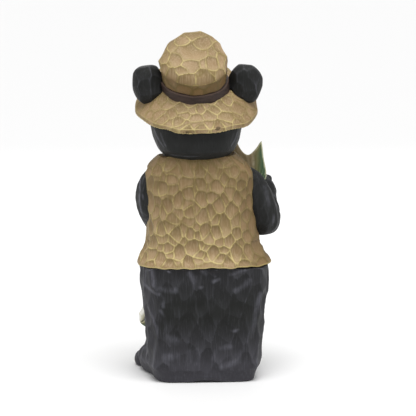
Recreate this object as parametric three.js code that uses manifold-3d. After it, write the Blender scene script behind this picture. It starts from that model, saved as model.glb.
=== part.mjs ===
// A standing bear in a tipped-back hat and an open vest, hugging a long fish: a painted resin
// garden figure in the style of chainsaw carving. It is one casting, so it is one closed solid.
// Millimetres, +Z up. The bear faces -Y, its left is +X, and it stands on z = 0.
import * as THREE from "three";
import { mergeVertices } from "three/addons/utils/BufferGeometryUtils.js";
import Module from "manifold-3d";

const wasm = await Module();
wasm.setup();

// ---------------------------------------------------------------- driving dimensions

const HEM_HEIGHT = 170; // bottom edge of the vest
const LEGS_X = -2; // the legs stand a little to the bear's right of the head
const HAT_TILT = THREE.MathUtils.degToRad(28); // the hat is pushed back on the head
const HAT_CENTRE = new THREE.Vector3(8.5, 5, 424); // middle of the crown's foot
const BRIM_RADIUS = 89;
const BRIM_THICKNESS = 6;
const BRIM_DROOP = { side: 33, back: 19, front: 11 }; // how far the edge hangs below the crown's foot
const CROWN_RADIUS = 50.5;
const CROWN_HEIGHT = 71;
const CROWN_RISE = 0.3; // the crown is taller at the front, by this share of the way forward
const CROWN_LEAN = 0.12; // sideways, as a share of the height
const CROWN_DENT = 7;
const BAND_WIDTH = 16;
const EAR_HALF_SIZE = new THREE.Vector3(23, 20, 31);
const EAR_MIDDLE = new THREE.Vector3(71, 2, 6); // from the middle of the crown's foot
const HEAD_X = 10; // the head leans a little to the bear's left
const VEST_THICKNESS = 5;
const FOOT_HALF_SIZE = new THREE.Vector3(41, 54, 31);
const TOE_COUNT = 4;
const TOE_RADIUS = 11.5;
const CLAW_LENGTH = 13;
const FISH_HALF_DEPTH = 37;
const FISH_HALF_THICKNESS = 21;
const FIN_THICKNESS = 6;
const FRAME_SHIFT = new THREE.Vector3(7.5, 20, 0); // puts the middle of the figure over the origin

// ---------------------------------------------------------------- shapes from rings of points

const wrap = (value, power) => Math.sign(value) * Math.abs(value) ** (2 / power);

// A ring in a plane: a rounded box between an ellipse (power 2) and a rectangle (high power).
function ring(centre, along, across, halfAlong, halfAcross, power, sides) {
  return Array.from({ length: sides }, (_, i) => {
    const angle = ((i + 0.5) / sides) * 2 * Math.PI;
    return centre
      .clone()
      .addScaledVector(along, halfAlong * wrap(Math.cos(angle), power))
      .addScaledVector(across, halfAcross * wrap(Math.sin(angle), power));
  });
}

// A closed skin over a row of rings, with a fan at each end.
function skin(rings) {
  const sides = rings[0].length;
  const points = rings.flat();
  const middle = (r) => r.reduce((sum, p) => sum.add(p), new THREE.Vector3()).divideScalar(sides);
  const start = points.push(middle(rings[0])) - 1;
  const end = points.push(middle(rings.at(-1))) - 1;
  const faces = [];
  for (let s = 0; s < sides; s++) {
    const t = (s + 1) % sides;
    for (let r = 0; r + 1 < rings.length; r++) {
      const [low, high] = [r * sides, (r + 1) * sides];
      faces.push(low + s, low + t, high + t, low + s, high + t, high + s);
    }
    const top = (rings.length - 1) * sides;
    faces.push(start, t, s, end, top + s, top + t);
  }
  return new THREE.BufferGeometry().setFromPoints(points).setIndex(faces);
}

const X = new THREE.Vector3(1, 0, 0);
const Y = new THREE.Vector3(0, 1, 0);

// Level sections one above another, each [height, half width, half depth, middle x, middle y].
function stack(sections, power, sides) {
  return skin(
    sections.map(([z, halfWidth, halfDepth, x, y]) =>
      ring(new THREE.Vector3(x, y, z), X, Y, halfWidth, halfDepth, power, sides),
    ),
  );
}

// A limb through stations of [x, y, z, radius], round in section, with rounded ends.
function limb(stations, steps, sides) {
  const curve = new THREE.CatmullRomCurve3(stations.map(([x, y, z]) => new THREE.Vector3(x, y, z)));
  const frames = curve.computeFrenetFrames(steps, false);
  const radiusAt = (t) => {
    const place = t * (stations.length - 1);
    const i = Math.min(Math.floor(place), stations.length - 2);
    const base = THREE.MathUtils.lerp(stations[i][3], stations[i + 1][3], place - i);
    return base * Math.sqrt(Math.max(0.1, 1 - Math.abs(2 * t - 1) ** 9));
  };
  return skin(
    frames.tangents.map((_, i) => {
      const t = i / steps;
      const radius = radiusAt(t);
      return ring(curve.getPoint(t), frames.normals[i], frames.binormals[i], radius, radius, 2.2, sides);
    }),
  );
}

// An egg or ball of given half sizes, turned and put in its place.
function ball(halfSize, centre, turn = new THREE.Euler(), sides = 14, rows = 10) {
  return new THREE.SphereGeometry(1, sides, rows)
    .scale(halfSize.x, halfSize.y, halfSize.z)
    .applyQuaternion(new THREE.Quaternion().setFromEuler(turn))
    .translate(centre.x, centre.y, centre.z);
}

// ---------------------------------------------------------------- solids

function solid(geometry) {
  const bare = new THREE.BufferGeometry().setAttribute("position", geometry.getAttribute("position"));
  if (geometry.index) bare.setIndex(geometry.index);
  const merged = mergeVertices(bare, 1e-3);
  const triVerts = new Uint32Array(merged.index.array);
  const vertProperties = merged.attributes.position.array;
  return new wasm.Manifold(new wasm.Mesh({ numProp: 3, vertProperties, triVerts }));
}

const join = (solids) => solids.reduce((whole, piece) => whole.add(piece));

function geometryOf(manifold) {
  const mesh = manifold.getMesh();
  return new THREE.BufferGeometry()
    .setAttribute("position", new THREE.BufferAttribute(mesh.vertProperties, 3))
    .setIndex(new THREE.BufferAttribute(mesh.triVerts, 1));
}

// ---------------------------------------------------------------- legs and feet

// Each leg is a blunt post. The hips join the two above the knee, and the heels just touch.
function leg(side) {
  const middle = LEGS_X + side * 41;
  return solid(
    stack(
      [
        [-4, 34, 47, middle, 0],
        [6, 40, 54, middle, 0],
        [26, 43, 56, middle, -1],
        [66, 44, 55, middle, -2],
        [112, 47, 58, middle, -3],
        [148, 50, 61, middle, -4],
        [HEM_HEIGHT + 8, 49, 60, middle, -4],
      ],
      3,
      20,
    ),
  );
}

function hips() {
  return solid(
    stack(
      [
        [70, 22, 44, LEGS_X, -2],
        [96, 50, 52, LEGS_X, -3],
        [126, 80, 59, LEGS_X, -4],
        [150, 88, 62, LEGS_X, -4],
        [HEM_HEIGHT + 8, 89, 62, 0, -4],
      ],
      3,
      20,
    ),
  );
}

// A foot points along -Y until it is turned out by the given angle. Toes fan round its front.
function foot(side, centre, turnOut) {
  const turn = new THREE.Euler(0, 0, side * turnOut);
  const pieces = [solid(ball(FOOT_HALF_SIZE, centre, turn, 16, 10))];
  for (let i = 0; i < TOE_COUNT; i++) {
    const fan = THREE.MathUtils.degToRad(-26 + (52 * i) / (TOE_COUNT - 1)) + side * turnOut;
    const reach = (part) =>
      new THREE.Vector3(Math.sin(fan) * part, -Math.cos(fan) * part, 0).add(centre).setZ(12);
    const toe = new THREE.Vector3(TOE_RADIUS, TOE_RADIUS * 1.4, 13);
    pieces.push(solid(ball(toe, reach(45), new THREE.Euler(0, 0, fan), 10, 7)));
    pieces.push(claw(reach(57).setZ(9), new THREE.Vector3(Math.sin(fan), -Math.cos(fan), -0.35)));
  }
  return join(pieces);
}

// A short blunt cone whose base is at a point and which points along a direction.
function claw(base, direction) {
  const way = direction.clone().normalize();
  const cone = new THREE.ConeGeometry(CLAW_LENGTH / 3, CLAW_LENGTH, 6)
    .applyQuaternion(new THREE.Quaternion().setFromUnitVectors(Y, way))
    .translate(...base.clone().addScaledVector(way, CLAW_LENGTH / 4).toArray());
  return solid(cone);
}

// ---------------------------------------------------------------- torso and vest

const VEST_SECTIONS = [
  [HEM_HEIGHT, 95, 67, 0, -3],
  [182, 90, 66, 0, -4],
  [196, 85, 66, 0, -5],
  [214, 81, 66, 1, -6],
  [236, 79, 64, 3, -6],
  [260, 78, 61, 5, -5],
  [284, 78, 57, 6, -3],
  [302, 75, 53, 7, 0],
  [315, 66, 47, 8, 2],
  [324, 50, 40, 9, 3],
];

function torso() {
  const inner = VEST_SECTIONS.map(([z, halfWidth, halfDepth, x, y]) => [
    z,
    halfWidth - VEST_THICKNESS,
    halfDepth - VEST_THICKNESS,
    x,
    y,
  ]);
  inner.push([338, 40, 36, HEAD_X, 4]);
  return solid(stack(inner, 2.8, 24));
}

// The vest is a skin over the torso, open down the front and round each arm.
function vest() {
  const gap = new THREE.Shape();
  const [bottomHalfGap, topHalfGap, throatHalfGap] = [34, 17, 30];
  gap.moveTo(-bottomHalfGap, HEM_HEIGHT - 5);
  gap.lineTo(bottomHalfGap, HEM_HEIGHT - 5);
  gap.lineTo(topHalfGap + 4, 250);
  gap.lineTo(throatHalfGap + 8, 332);
  gap.lineTo(-throatHalfGap + 8, 332);
  gap.lineTo(-topHalfGap + 4, 250);
  const opening = new THREE.ExtrudeGeometry(gap, { depth: 120, bevelEnabled: false })
    .rotateX(Math.PI / 2)
    .translate(0, -12, 0);
  const armhole = (x) => {
    const sizes = new THREE.Vector3(33, 36, 47);
    return solid(ball(sizes, new THREE.Vector3(x, -14, 266), new THREE.Euler(), 16, 10));
  };
  return solid(stack(VEST_SECTIONS, 2.8, 28))
    .subtract(solid(opening))
    .subtract(armhole(96))
    .subtract(armhole(-84));
}

// ---------------------------------------------------------------- arms and paws

// Fingers lie side by side along a row and curl over what the paw holds.
function paw(centre, radius, rowStart, rowEnd, reach) {
  const pieces = [solid(ball(new THREE.Vector3(radius, radius, radius), centre, undefined, 12, 8))];
  for (let i = 0; i < TOE_COUNT; i++) {
    const knuckle = rowStart.clone().lerp(rowEnd, i / (TOE_COUNT - 1));
    const tip = knuckle.clone().add(reach);
    const between = (t, r) => [...knuckle.clone().lerp(tip, t).toArray(), r];
    pieces.push(solid(limb([between(0, 7.5), between(0.5, 8), between(1, 7)], 4, 8)));
    pieces.push(claw(tip, reach));
  }
  return join(pieces);
}

const leftArm = () =>
  join([
    solid(
      limb(
        [
          [58, 2, 303, 22],
          [71, -2, 276, 26],
          [72, -10, 248, 24],
          [62, -48, 222, 21],
          [42, -84, 190, 20],
        ],
        12,
        14,
      ),
    ),
    paw(
      new THREE.Vector3(40, -88, 184),
      20,
      new THREE.Vector3(16, -102, 186),
      new THREE.Vector3(44, -104, 164),
      new THREE.Vector3(-12, -6, -18),
    ),
  ]);

const rightArm = () =>
  join([
    solid(
      limb(
        [
          [-48, 0, 303, 19],
          [-64, -2, 278, 24],
          [-86, -6, 230, 26],
          [-95, -40, 236, 22],
          [-94, -62, 260, 20],
        ],
        12,
        14,
      ),
    ),
    paw(
      new THREE.Vector3(-93, -66, 264),
      20,
      new THREE.Vector3(-96, -88, 278),
      new THREE.Vector3(-88, -90, 248),
      new THREE.Vector3(20, -4, 4),
    ),
  ]);

// ---------------------------------------------------------------- head and hat

function head() {
  const skull = stack(
    [
      [322, 40, 40, HEAD_X, 6],
      [326, 49, 49, HEAD_X, 6],
      [335, 56, 56, HEAD_X, 6],
      [350, 63, 61, HEAD_X, 4],
      [368, 67, 63, HEAD_X, 2],
      [388, 66, 62, HEAD_X, 0],
      [406, 60, 57, HEAD_X, -3],
      [436, 44, 42, HEAD_X, -8],
    ],
    2.6,
    22,
  );
  const overBrim = new THREE.BoxGeometry(300, 300, 150).translate(0, 0, 75 - BRIM_THICKNESS);
  const at = (x, y, z) => new THREE.Vector3(HEAD_X + x, y, z);
  const pieces = [
    solid(skull).subtract(onHead(overBrim)),
    solid(ball(new THREE.Vector3(31, 36, 25), at(0, -72, 361), undefined, 16, 12)),
    solid(ball(new THREE.Vector3(13, 9, 9), at(0, -103, 374), undefined, 10, 8)),
  ];
  for (const side of [-1, 1])
    pieces.push(solid(ball(new THREE.Vector3(7, 6, 7), at(side * 25, -58, 392), undefined, 10, 8)));
  return join(pieces);
}

// Hat pieces are made level round their own middle, shaped, then tipped back and put on the head.
function onHead(geometry) {
  return solid(geometry.rotateX(-HAT_TILT).translate(...HAT_CENTRE.toArray()));
}

function bend(geometry, liftAt) {
  const place = geometry.getAttribute("position");
  for (let i = 0; i < place.count; i++) {
    const [x, y, z] = [place.getX(i), place.getY(i), place.getZ(i)];
    place.setZ(i, z + liftAt(x, y, z));
  }
  return geometry;
}

const leaning = (geometry) =>
  geometry.applyMatrix4(new THREE.Matrix4().makeShear(0, 0, 0, 0, CROWN_LEAN, 0));

// A profile of [radius, height] points, turned round +Z.
function turned(profile, sides) {
  const points = profile.map(([radius, height]) => new THREE.Vector2(radius, height));
  return new THREE.LatheGeometry(points, sides).rotateX(Math.PI / 2);
}

// How far the brim hangs at a place: nothing at the crown, most at its edge.
function brimLift(x, y) {
  const reach = Math.hypot(x, y);
  if (reach <= CROWN_RADIUS) return 0;
  const end = y > 0 ? BRIM_DROOP.back : BRIM_DROOP.front;
  const edgeDroop = (BRIM_DROOP.side * x * x + end * y * y) / reach ** 2;
  return -edgeDroop * ((reach - CROWN_RADIUS) / (BRIM_RADIUS - CROWN_RADIUS)) ** 1.2;
}

function crownLift(x, y, z) {
  const dent = z > 40 ? -CROWN_DENT * Math.exp(-((x / 20) ** 2) - (y / 26) ** 2) : 0;
  return dent - (CROWN_RISE * y * Math.max(0, z)) / CROWN_HEIGHT;
}

function hat() {
  const half = BRIM_THICKNESS / 2;
  const edge = BRIM_RADIUS - half;
  const brim = turned(
    [
      [0, -half],
      [CROWN_RADIUS - 2, -half],
      [61, -half],
      [73, -half],
      [edge, -half],
      [BRIM_RADIUS, 0],
      [edge, half],
      [73, half],
      [61, half],
      [CROWN_RADIUS - 2, half],
      [0, half],
    ],
    32,
  );
  const crown = turned(
    [
      [0, 0],
      [CROWN_RADIUS - 1, 0],
      [CROWN_RADIUS - 1, 20],
      [CROWN_RADIUS, 38],
      [CROWN_RADIUS - 3, 54],
      [CROWN_RADIUS - 11, 65],
      [CROWN_RADIUS - 22, CROWN_HEIGHT],
      [14, CROWN_HEIGHT],
      [0, CROWN_HEIGHT],
    ],
    24,
  );
  const band = turned(
    [
      [0, 0],
      [CROWN_RADIUS + 1, 0],
      [CROWN_RADIUS + 1, half + BAND_WIDTH],
      [0, half + BAND_WIDTH],
    ],
    24,
  );
  const ear = (side) => {
    const lean = new THREE.Euler(HAT_TILT * 0.6, side * 0.12, 0);
    const middle = EAR_MIDDLE.clone().multiply(new THREE.Vector3(side, 1, 1));
    return ball(EAR_HALF_SIZE, middle, lean, 14, 10);
  };
  return join([
    onHead(bend(brim, brimLift)),
    onHead(leaning(bend(crown, crownLift))),
    onHead(leaning(band)),
    onHead(ear(-1)),
    onHead(ear(1)),
  ]);
}

// ---------------------------------------------------------------- fish

// Stations from the nose to the root of the tail fin: [x, y, z, share of the depth, of the thickness].
const FISH_STATIONS = [
  [86, -71, 68, 0.3, 0.3],
  [76, -73, 76, 0.5, 0.56],
  [56, -78, 94, 0.74, 0.82],
  [28, -84, 121, 0.95, 0.98],
  [-4, -87, 152, 1, 1],
  [-37, -85, 185, 0.92, 0.94],
  [-64, -78, 220, 0.72, 0.76],
  [-80, -68, 255, 0.5, 0.52],
  [-83, -58, 286, 0.4, 0.3],
];

function fish() {
  const points = FISH_STATIONS.map(([x, y, z]) => new THREE.Vector3(x, y, z));
  const rings = points.map((point, i) => {
    const way = points[Math.min(i + 1, points.length - 1)].clone();
    way.sub(points[Math.max(i - 1, 0)]).normalize();
    const flank = Y.clone().negate().addScaledVector(way, way.y).normalize();
    const belly = new THREE.Vector3().crossVectors(way, flank).normalize();
    const [depth, thickness] = FISH_STATIONS[i].slice(3);
    return ring(point, flank, belly, FISH_HALF_THICKNESS * thickness, FISH_HALF_DEPTH * depth, 2.1, 14);
  });
  const flatFin = (outline, y) => {
    const plate = new THREE.ExtrudeGeometry(outline, {
      depth: FIN_THICKNESS,
      bevelEnabled: false,
      curveSegments: 5,
    });
    return solid(plate.rotateX(Math.PI / 2).translate(0, y, 0));
  };
  const tail = new THREE.Shape();
  tail.moveTo(-67, 272);
  tail.quadraticCurveTo(-54, 312, -53, 342);
  tail.quadraticCurveTo(-56, 345, -59, 340);
  tail.quadraticCurveTo(-67, 296, -84, 337);
  tail.quadraticCurveTo(-87, 342, -90, 335);
  tail.quadraticCurveTo(-93, 305, -97, 272);
  const backFin = new THREE.Shape();
  backFin.moveTo(12, 112);
  backFin.quadraticCurveTo(-26, 96, -46, 124);
  backFin.quadraticCurveTo(-66, 152, -72, 196);
  backFin.lineTo(-40, 190);
  const bellyFin = new THREE.Shape();
  bellyFin.moveTo(-34, 218);
  bellyFin.quadraticCurveTo(-22, 240, -42, 254);
  bellyFin.lineTo(-62, 226);
  return join([
    solid(skin(rings)),
    flatFin(tail, -50),
    flatFin(backFin, -78),
    flatFin(bellyFin, -72),
  ]);
}

// ---------------------------------------------------------------- the casting

function casting() {
  const floor = solid(new THREE.BoxGeometry(600, 600, 100).translate(0, 0, -50));
  return join([
    leg(1),
    leg(-1),
    hips(),
    foot(1, new THREE.Vector3(49, -42, 14), THREE.MathUtils.degToRad(18)),
    foot(-1, new THREE.Vector3(-44, -42, 14), THREE.MathUtils.degToRad(8)),
    torso(),
    vest(),
    leftArm(),
    rightArm(),
    head(),
    hat(),
    fish(),
  ]).subtract(floor);
}

const paintedResin = new THREE.MeshStandardMaterial({ color: "#3a3a3c", roughness: 0.6, metalness: 0 });

const bear = new THREE.Group();
const mesh = new THREE.Mesh(geometryOf(casting()), paintedResin);
mesh.name = "carved_bear";
mesh.position.copy(FRAME_SHIFT);
bear.add(mesh);

export default bear;
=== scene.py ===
"""Looks of the carved bear: a cast resin garden figure, chip-carved all over, then painted.

Every painted area is its own closed mesh. A shape is first a distance field in millimetres, in the
figure's own frame. The field becomes an even skin of quads, gouge cuts are scooped out of the skin,
and what the paint needs to know (where a ridge runs, how deep a hollow is) is kept on its points.
"""

import math

import bpy
import numpy as np
from mathutils import Matrix, Vector


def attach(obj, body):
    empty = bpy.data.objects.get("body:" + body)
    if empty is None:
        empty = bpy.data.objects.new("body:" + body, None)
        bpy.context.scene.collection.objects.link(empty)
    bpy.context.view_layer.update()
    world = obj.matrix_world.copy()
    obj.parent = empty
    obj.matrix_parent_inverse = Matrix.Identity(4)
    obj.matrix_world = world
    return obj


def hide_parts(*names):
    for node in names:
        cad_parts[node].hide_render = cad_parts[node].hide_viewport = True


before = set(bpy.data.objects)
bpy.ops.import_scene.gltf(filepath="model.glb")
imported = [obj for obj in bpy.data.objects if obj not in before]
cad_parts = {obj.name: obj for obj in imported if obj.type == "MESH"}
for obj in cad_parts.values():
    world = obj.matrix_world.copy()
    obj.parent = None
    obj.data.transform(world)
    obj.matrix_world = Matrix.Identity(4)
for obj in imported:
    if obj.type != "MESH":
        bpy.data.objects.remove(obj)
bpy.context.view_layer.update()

BODY = "root"
NODE = "carved_bear"
SHIFT = np.array([7.5, 20.0, 0.0])  # from the figure's frame to the CAD frame, in millimetres
MM = 0.001
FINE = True
rng = np.random.default_rng(20)
X, Y, Z = np.eye(3)


# ---------------------------------------------------------------- distance fields


def unit(vectors):
    length = np.linalg.norm(vectors, axis=-1, keepdims=True)
    return vectors / np.maximum(length, 1e-9)


def fuse(a, b, soft):
    """Both shapes, with a fillet about as wide as soft."""
    mix = np.clip(0.5 + 0.5 * (b - a) / soft, 0, 1)
    return b + (a - b) * mix - soft * mix * (1 - mix)


def within(a, b, soft):
    """Only where the two shapes overlap."""
    return -fuse(-a, -b, soft)


def minus(a, b, soft):
    """The first shape with the second cut away."""
    return within(a, -b, soft)


def egg(points, centre, half, turn=None):
    """A ball of three half sizes. The columns of turn are its own axes."""
    local = points - np.asarray(centre)
    if turn is not None:
        local = local @ turn
    half = np.asarray(half, float)
    near = np.linalg.norm(local / half, axis=-1)
    slope = np.linalg.norm(local / half**2, axis=-1)
    return near * (near - 1) / np.maximum(slope, 1e-6)


def rounded_path(stations, steps=4):
    """More stations between the given ones, on a Catmull-Rom curve."""
    stations = np.asarray(stations, float)
    ends = np.vstack([2 * stations[0] - stations[1], stations, 2 * stations[-1] - stations[-2]])
    path = []
    for a, b, c, d in zip(ends, ends[1:], ends[2:], ends[3:]):
        for t in np.arange(steps) / steps:
            curve = (-a + 3 * b - 3 * c + d) * t**3 + (2 * a - 5 * b + 4 * c - d) * t**2
            path.append(0.5 * (curve + (c - a) * t + 2 * b))
    return np.array(path + [stations[-1]])


def limb(points, stations):
    """A round limb through stations of [x, y, z, radius]."""
    path = rounded_path(stations)
    best = np.full(points.shape[:-1], np.inf)
    for a, b in zip(path, path[1:]):
        way = b[:3] - a[:3]
        along = np.clip((points - a[:3]) @ way / (way @ way), 0, 1)
        gap = np.linalg.norm(points - a[:3] - along[..., None] * way, axis=-1)
        best = np.minimum(best, gap - a[3] - along * (b[3] - a[3]))
    return best


def eased(heights, values, at):
    """Values between stations, with their corners eased over a few millimetres."""
    fine = np.arange(heights[0] - 12, heights[-1] + 12, 1.0)
    kernel = np.exp(-np.linspace(-2, 2, 17) ** 2)
    line = np.interp(fine, heights, values)
    padded = np.pad(line, 8, mode="edge")
    return np.interp(at, fine, np.convolve(padded, kernel / kernel.sum(), "valid"))


def stack(points, sections, power, soft=8):
    """Level sections one above another: [height, half width, half depth, middle x, middle y]."""
    heights, *columns = np.transpose(np.asarray(sections, float))
    up = points[..., 2]
    wide, deep, middle_x, middle_y = (eased(heights, column, up) for column in columns)
    across = np.abs(points[..., 0] - middle_x) / wide
    through = np.abs(points[..., 1] - middle_y) / deep
    level = (across**power + through**power) ** (1 / power)
    side = (level - 1) * np.minimum(wide, deep)
    return within(side, np.maximum(heights[0] - up, up - heights[-1]), soft)


def outline(u, v, corners):
    """Signed distance to a flat polygon."""
    best = np.full(u.shape, np.inf)
    inside = np.zeros(u.shape, bool)
    for (ua, va), (ub, vb) in zip(corners, np.roll(corners, -1, axis=0)):
        du, dv = ub - ua, vb - va
        along = np.clip(((u - ua) * du + (v - va) * dv) / (du * du + dv * dv), 0, 1)
        best = np.minimum(best, np.hypot(u - ua - along * du, v - va - along * dv))
        crosses = (va > v) != (vb > v)
        inside ^= crosses & (u < du * (v - va) / (dv if dv else 1e-9) + ua)
    return np.where(inside, -best, best)


# ---------------------------------------------------------------- skins


def skin_of(field, low, high, step):
    """Quads over the zero surface of a field: one point in each cell that the surface crosses."""
    axes = [np.arange(a, b + step, step) for a, b in zip(low, high)]
    value = field(np.stack(np.meshgrid(*axes, indexing="ij"), axis=-1))
    inside = value < 0
    cells = np.array(value.shape) - 1
    corners = [np.array(c) for c in np.ndindex(2, 2, 2)]

    def corner(grid, c):
        return grid[c[0] : c[0] + cells[0], c[1] : c[1] + cells[1], c[2] : c[2] + cells[2]]

    count = sum(corner(inside, c).astype(np.int8) for c in corners)
    crossed = (count > 0) & (count < 8)
    number = np.full(cells, -1)
    number[crossed] = np.arange(crossed.sum())
    at_corner = [corner(value, c)[crossed] for c in corners]
    total, hits = np.zeros((crossed.sum(), 3)), np.zeros(crossed.sum())
    for i, a in enumerate(corners):
        for j, b in enumerate(corners):
            if j > i and np.abs(a - b).sum() == 1:
                first, second = at_corner[i], at_corner[j]
                hit = (first < 0) != (second < 0)
                share = first[hit] / (first[hit] - second[hit])
                total[hit] += a + share[:, None] * (b - a)
                hits[hit] += 1
    points = np.argwhere(crossed) + total / hits[:, None]
    quads = []
    for axis in range(3):
        u, v = np.eye(3, dtype=int)[(axis + 1) % 3], np.eye(3, dtype=int)[(axis + 2) % 3]
        ahead = np.roll(inside, -1, axis)
        edge = inside != ahead
        edge[tuple(np.s_[-1:] if a == axis else np.s_[:] for a in range(3))] = False
        spots = np.argwhere(edge)
        around = [spots - u - v, spots - v, spots, spots - u]
        quad = np.stack([number[tuple(p.T)] for p in around], axis=1)
        outward = inside[tuple(spots.T)]
        quads.append(np.where(outward[:, None], quad, quad[:, ::-1]))
    return np.array([a[0] for a in axes]) + points * step, np.vstack(quads)


def slope_of(field, points):
    """The field's gradient, by small steps each way."""
    reach = 0.4
    sides = [field(points + reach * axis) - field(points - reach * axis) for axis in (X, Y, Z)]
    return np.stack(sides, axis=-1) / (2 * reach)


def settle(field, points, rounds=2):
    """Moves points on to the zero surface, and returns them with their outward directions."""
    for _ in range(rounds):
        slope = slope_of(field, points)
        size = np.maximum((slope**2).sum(-1), 0.05)
        points = points - np.clip(field(points) / size, -2, 2)[:, None] * slope
    return points, unit(slope_of(field, points))


def new_mesh(name, points, faces):
    mesh = bpy.data.meshes.new(name)
    mesh.from_pydata(points, [], faces)
    return mesh


def of_each_point(mesh, what):
    """The place ("co") or the outward direction ("normal") of each point."""
    values = np.empty(len(mesh.vertices) * 3)
    mesh.vertices.foreach_get(what, values)
    return values.reshape(-1, 3)


def applied(thing, name):
    """The object's evaluated shape as a plain mesh. The object is removed."""
    bpy.context.view_layer.update()
    shape = thing.evaluated_get(bpy.context.evaluated_depsgraph_get())
    mesh = bpy.data.meshes.new_from_object(shape)
    mesh.name = name
    bpy.data.objects.remove(thing)
    return mesh


def halved(name, points, quads):
    """The same skin with each quad smoothly split in four."""
    thing = bpy.data.objects.new(name, new_mesh(name, points, quads))
    bpy.context.collection.objects.link(thing)
    split = thing.modifiers.new("split", "SUBSURF")
    split.levels = split.render_levels = 1
    return applied(thing, name)


# ---------------------------------------------------------------- gouge cuts


def cut_axes(normals, stroke, sway):
    """Each cut's own axes in the surface: along the stroke and across it."""
    along = unit(stroke - (stroke * normals).sum(-1, keepdims=True) * normals)
    across = np.cross(normals, along)
    turn = rng.normal(0, sway, len(normals))[:, None]
    return unit(along + turn * across), unit(across - turn * along)


def as_cuts(points, normals, layout, length, width, depth):
    """Cuts at points of a skin, each with its own axes, scaled so that its rim is at radius 1."""
    along, across = cut_axes(normals, np.array(layout["stroke"], float), layout["sway"])
    return {
        "centre": points,
        "along": along / (length / 2)[:, None],
        "across": across / (width / 2)[:, None],
        "out": normals,
        "depth": depth,
        "tone": rng.uniform(0, 1, len(points)),
    }


def within_cuts(points, cuts):
    """Each point's place in each cut: along it, across it, and how far out of its surface."""
    return [
        points @ cuts[axis].T - (cuts["centre"] * cuts[axis]).sum(-1)
        for axis in ("along", "across", "out")
    ]


def gouge(points, normals, layout):
    """Cuts over a skin. A layout gives sizes in millimetres and any cuts listed one by one, each as
    its place, width, length and a share of the usual depth. The rest is filled at random."""
    free = np.ones(len(points), bool)
    placed = np.array(layout.get("placed", []), float).reshape(-1, 6)
    nearest = [int(np.argmin(((points - cut[:3]) ** 2).sum(-1))) for cut in placed]
    roomy = layout.get("roomy", 1.22)
    share = placed[:, 3] * placed[:, 4] / (layout["width"] * layout["length"])
    depth = placed[:, 5] * layout["depth"] * np.clip(share ** layout.get("grade", 0.7), 0.2, 1.5)
    by_hand = as_cuts(points[nearest], normals[nearest], {**layout, "sway": 0.08},
                      placed[:, 4] * roomy, placed[:, 3] * roomy, depth)
    if len(placed):
        along, across, out = within_cuts(points, by_hand)
        taken = (along**2 + across**2 < 0.75) & (np.abs(out) < 12)
        free = ~taken.any(axis=1)
    picked = []
    for i in rng.permutation(np.flatnonzero(free)):
        near = points[picked]
        if not len(near) or ((near - points[i]) ** 2).sum(-1).min() > layout["spacing"] ** 2:
            picked.append(i)
    size = rng.uniform(0.8, 1.2, (3, len(picked)))
    filled = as_cuts(points[picked], normals[picked], layout, layout["length"] * size[0],
                     layout["width"] * size[1], layout["depth"] * size[2])
    return {key: np.concatenate([by_hand[key], filled[key]]) for key in filled}


def scoop(points, normals, cuts, soft):
    """How far each point sinks. Also its distance from the nearest crest between two cuts, how
    sharp that crest is, the tone of its own cut, and how high in that cut it lies (-1 to 1)."""
    along, across, out = within_cuts(points, cuts)
    height = cuts["depth"] * (along**2 + across**2 - 1)
    height += 3 * np.maximum(0, np.abs(out) / 9 - 1) ** 2
    height += 12 * np.maximum(0, 0.25 - normals @ cuts["out"].T)
    uncut = np.zeros((len(points), 1))
    height = np.hstack([height, uncut])
    two = np.argpartition(height, 1, axis=1)[:, :2]
    rows = np.arange(len(points))[:, None]
    two = two[rows, np.argsort(height[rows, two], axis=1)]
    pair = height[rows, two]
    depth = np.append(cuts["depth"], 0)
    axes = {key: np.vstack([cuts[key], np.zeros(3)]) for key in ("along", "across")}
    places = {"along": np.hstack([along, uncut]), "across": np.hstack([across, uncut])}
    lean = sum(places[key][rows, two][..., None] * axes[key][two] for key in axes)
    lean = lean * (2 * depth[two])[..., None]
    sharp = np.linalg.norm(lean[:, 1] - lean[:, 0], axis=-1)
    crest = (pair[:, 1] - pair[:, 0]) / np.maximum(sharp, 0.05)
    sink = fuse(pair[:, 0], pair[:, 1], soft)
    upward = np.append(np.sign(cuts["along"][:, 2]), 0)[two[:, 0]]
    lift = places["along"][rows, two][:, 0] * upward
    return sink, np.clip(crest, 0, 6), sharp, np.append(cuts["tone"], 0.5)[two[:, 0]], lift


# ---------------------------------------------------------------- what paint needs to know


def set_values(mesh, **named):
    for name, values in named.items():
        store = mesh.attributes.new(name, "FLOAT", "POINT")
        store.data.foreach_set("value", np.ascontiguousarray(values, dtype=np.float32))


def bulge_of(mesh, rounds):
    """How much a skin stands out (positive) or falls in round each point, on a scale of 1/mm."""
    points, normals = of_each_point(mesh, "co"), of_each_point(mesh, "normal")
    edges = np.empty(len(mesh.edges) * 2, dtype=np.int64)
    mesh.edges.foreach_get("vertices", edges)
    a, b = edges.reshape(-1, 2).T
    many = np.bincount(a, minlength=len(points)) + np.bincount(b, minlength=len(points))
    gap = points[b] - points[a]
    length2 = np.maximum((gap**2).sum(-1), 1e-6)
    bend = np.bincount(a, -(gap * normals[a]).sum(-1) / length2, len(points))
    bend += np.bincount(b, (gap * normals[b]).sum(-1) / length2, len(points))
    bend = 2 * bend / many
    for _ in range(rounds):
        near = np.bincount(a, bend[b], len(points)) + np.bincount(b, bend[a], len(points))
        bend = 0.5 * bend + 0.5 * near / many
    return bend


def finish_piece(mesh, name, material, points_mm):
    """Puts a skin in the CAD frame in metres, as a piece that rides on the figure."""
    mesh.vertices.foreach_set("co", ((points_mm + SHIFT) * MM).ravel())
    mesh.update()
    return show(mesh, name, material)


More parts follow.
